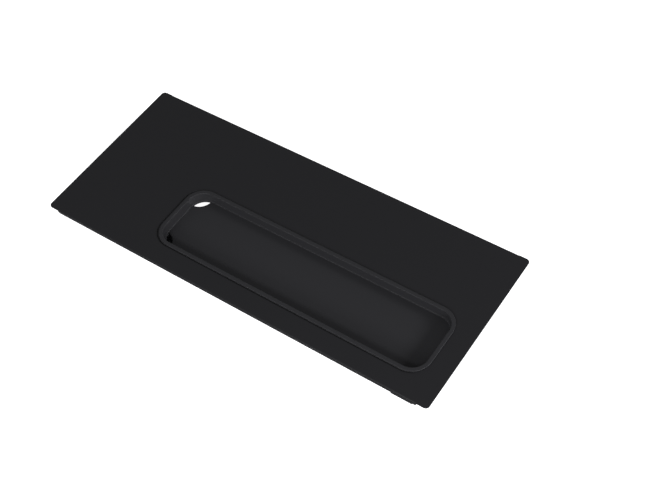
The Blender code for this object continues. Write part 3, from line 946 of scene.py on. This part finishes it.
def make_mastic_patch():
    """A height over a square grid squeezed into a rounded rectangle.

    Across a corner the half width shrinks as the corner's circle does. The lower face
    rises into grooves along both pitches and rounds up to the edge.
    """
    size = np.array(mastic_high - mastic_low)
    middle = np.array(mastic_low + mastic_high) / 2
    count = 121
    share = np.linspace(-1, 1, count)
    share = np.sign(share) * (1 - (1 - np.abs(share)) ** 1.15)
    y = share * size[1] / 2
    into = np.clip(np.abs(y) - (size[1] / 2 - MASTIC_CORNER), 0, MASTIC_CORNER)
    half = size[0] / 2 - MASTIC_CORNER + np.sqrt(MASTIC_CORNER**2 - into**2)
    x = share[:, None] * half[None]
    y = np.broadcast_to(y, x.shape)
    groove = np.minimum(
        np.abs((x / WAFFLE_PITCH) % 1 - 0.5), np.abs((y / WAFFLE_PITCH) % 1 - 0.5)
    ) * WAFFLE_PITCH
    depth = WAFFLE_DEPTH * (1 - np.clip(groove / WAFFLE_GROOVE, 0, 1) ** 2)
    edge = np.minimum(half[None] - np.abs(x), size[1] / 2 - np.abs(y))
    roll = np.clip(1 - edge / MASTIC_EDGE, 0, 1)
    low = mastic_low.z + np.maximum(depth, MASTIC_EDGE * (1 - np.sqrt(1 - roll**2)))
    under = np.stack([x + middle[0], y + middle[1], low], -1)
    over = under.copy()
    over[..., 2] = mastic_high.z
    border = np.concatenate([
        np.stack([g[0, :-1], g[:-1, -1], g[-1, :0:-1], g[:0:-1, 0]], 0).reshape(-1, 3) for g in (under, over)
    ]).reshape(2, -1, 3)
    grids = [(under, False, False), (over, False, False), (border, False, True)]
    return skin("mastic_patch", grids, damping_mastic())


mastic_patch = make_mastic_patch()
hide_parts("damping_pad")
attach(mastic_patch, "root")

# ---- Mounting brackets -------------------------------------------------------------
# Four Z-brackets folded from 1.5 mm steel. The foot is spot-welded behind the sheet,
# and the shelf takes a fastener of the drawer front through its hole.

BRACKET_SHEET = 1.5 * MM
BRACKET_BEND = 2.0 * MM
BRACKET_FEET = {"near_left": 22 * MM, "near_right": 11 * MM, "far_left": 22 * MM, "far_right": 22 * MM}
BRACKET_HOLE = 3.5 * MM
HOLE_INSET = 9.0 * MM

for corner, foot in BRACKET_FEET.items():
    bracket_low, bracket_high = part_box(f"{corner}_bracket")
    heading = 1 if corner.endswith("left") else -1
    riser = bracket_low.x + foot if heading > 0 else bracket_high.x - foot
    row = (bracket_low.y + bracket_high.y) / 2
    half = BRACKET_SHEET / 2
    shelf = bracket_high.x - bracket_low.x - foot
    top, bottom = bracket_high.z - half, bracket_low.z + half
    bracket_line = bend_line([(-foot, top), (half, top), (half, bottom), (shelf, bottom)], BRACKET_BEND)
    bracket_run = np.linalg.norm(np.diff(bracket_line, axis=0), axis=1).sum()
    hole_at = bracket_run - (shelf - HOLE_INSET)
    breadth = bracket_high.y - bracket_low.y
    foot_spots = [(0.42 * foot, side * breadth / 4) for side in (-1, 1)]

    def behind_sheet(p):
        """The folded bracket's length runs from its foot along X, the way it heads."""
        return np.stack([riser + heading * p[:, 0], row + p[:, 1], p[:, 2]], 1)

    bracket = pressed_sheet(
        f"{corner}_z_bracket", bracket_line, breadth, BRACKET_SHEET, behind_sheet, electrocoat,
        holes=[(hole_at, 0.0, BRACKET_HOLE)], spots=foot_spots, step=2.5 * MM,
    )
    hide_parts(f"{corner}_bracket")
    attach(bracket, "root")

# ---- Clinch nuts -------------------------------------------------------------------
# Hexagonal zinc-plated nuts, chamfered and threaded, one on each bracket's shelf over
# its hole.

NUT_THREAD_PITCH = 0.8 * MM
NUT_THREAD_DEPTH = 0.35 * MM
NUT_BORE = 2.2 * MM
NUT_BEVEL = 0.35 * MM
NUT_FACE = 0.97


def make_nut(name, node, paint):
    """Rows of a hexagon whose radius is the smaller of its flat's distance and a chamfer cone's."""
    low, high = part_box(node)
    corner_radius = (high.x - low.x) / 2
    angle = np.linspace(0, 2 * math.pi, AROUND, endpoint=False)
    flat = corner_radius * math.cos(math.pi / 6)
    hexagon = flat / np.cos((angle % (math.pi / 3)) - math.pi / 6)

    def row(limit, height):
        """The hexagon at a height, cut to a circle of the limit's radius."""
        reach = np.minimum(hexagon, limit)
        return np.stack([reach * np.cos(angle), reach * np.sin(angle), np.full_like(angle, height)], 1)

    chamfer = corner_radius - flat * NUT_FACE
    drop = chamfer * math.tan(math.radians(30))
    outside = [row(corner_radius, low.z)]
    outside += [row(corner_radius - s * chamfer, high.z - (1 - s) * drop) for s in (0, 0.33, 0.66, 1)]
    mouth = turned([(NUT_BORE + NUT_BEVEL, high.z)])
    bore_low, bore_high = low.z + NUT_BEVEL, high.z - NUT_BEVEL
    bore = thread(NUT_BORE + NUT_THREAD_DEPTH, bore_low, bore_high, NUT_THREAD_DEPTH, NUT_THREAD_PITCH)
    foot = turned([(NUT_BORE + NUT_BEVEL, low.z)])
    grid = np.concatenate([np.stack(outside), mouth, bore[::-1], foot])
    grid[..., 0] += (low.x + high.x) / 2
    grid[..., 1] += (low.y + high.y) / 2
    return skin(name, [(grid, True, True)], paint, sharp=35)


for corner in BRACKET_FEET:
    nut = make_nut(f"{corner}_clinch_nut", f"{corner}_nut", zinc)
    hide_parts(f"{corner}_nut")
    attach(nut, "root")

# ---- Rubber pads -------------------------------------------------------------------
# Moulded rubber washers under the bracket shelves. They keep the panel from ringing on
# its frame, and two concentric grooves in the lower face help them grip.

PAD_HOLE = 4.0 * MM
PAD_EDGE = 0.35 * MM
PAD_GROOVES = (5.3 * MM, 6.6 * MM)
PAD_GROOVE = 0.22 * MM


def black_rubber():
    """Black rubber with a faint grey bloom."""
    paint = Paint("black_rubber")
    bloom = paint.noise(3.5 * MM, 4.0, 0.6)
    grain = paint.noise(0.3 * MM, 2.0)
    return paint.finish({
        "Base Color": paint.shade((0.013, 0.013, 0.013), (0.040, 0.040, 0.041), bloom),
        "Roughness": 0.66 + 0.2 * bloom,
        "Normal": paint.bump(grain, 0.015 * MM),
    })


def make_pad(name, node, paint):
    """A turned ring: rounded outer edges, and grooves that are half-circles in its lower face."""
    low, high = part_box(node)
    radius = (high.x - low.x) / 2
    outer, inner = radius - PAD_EDGE, PAD_HOLE + PAD_EDGE
    rows = [
        arc((outer, high.z - PAD_EDGE), PAD_EDGE, 90, 0, 5),
        arc((outer, low.z + PAD_EDGE), PAD_EDGE, 0, -90, 5),
        *[arc((groove, low.z), PAD_GROOVE, 0, 180, 9) for groove in PAD_GROOVES[::-1]],
        arc((inner, low.z + PAD_EDGE), PAD_EDGE, -90, -180, 5),
        arc((inner, high.z - PAD_EDGE), PAD_EDGE, 180, 90, 5),
    ]
    grid = turned(np.concatenate(rows))
    grid[..., 0] += (low.x + high.x) / 2
    grid[..., 1] += (low.y + high.y) / 2
    return skin(name, [(grid, True, True)], paint)


rubber = black_rubber()
for corner in BRACKET_FEET:
    pad = make_pad(f"{corner}_rubber_pad", f"{corner}_pad", rubber)
    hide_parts(f"{corner}_pad")
    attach(pad, "root")
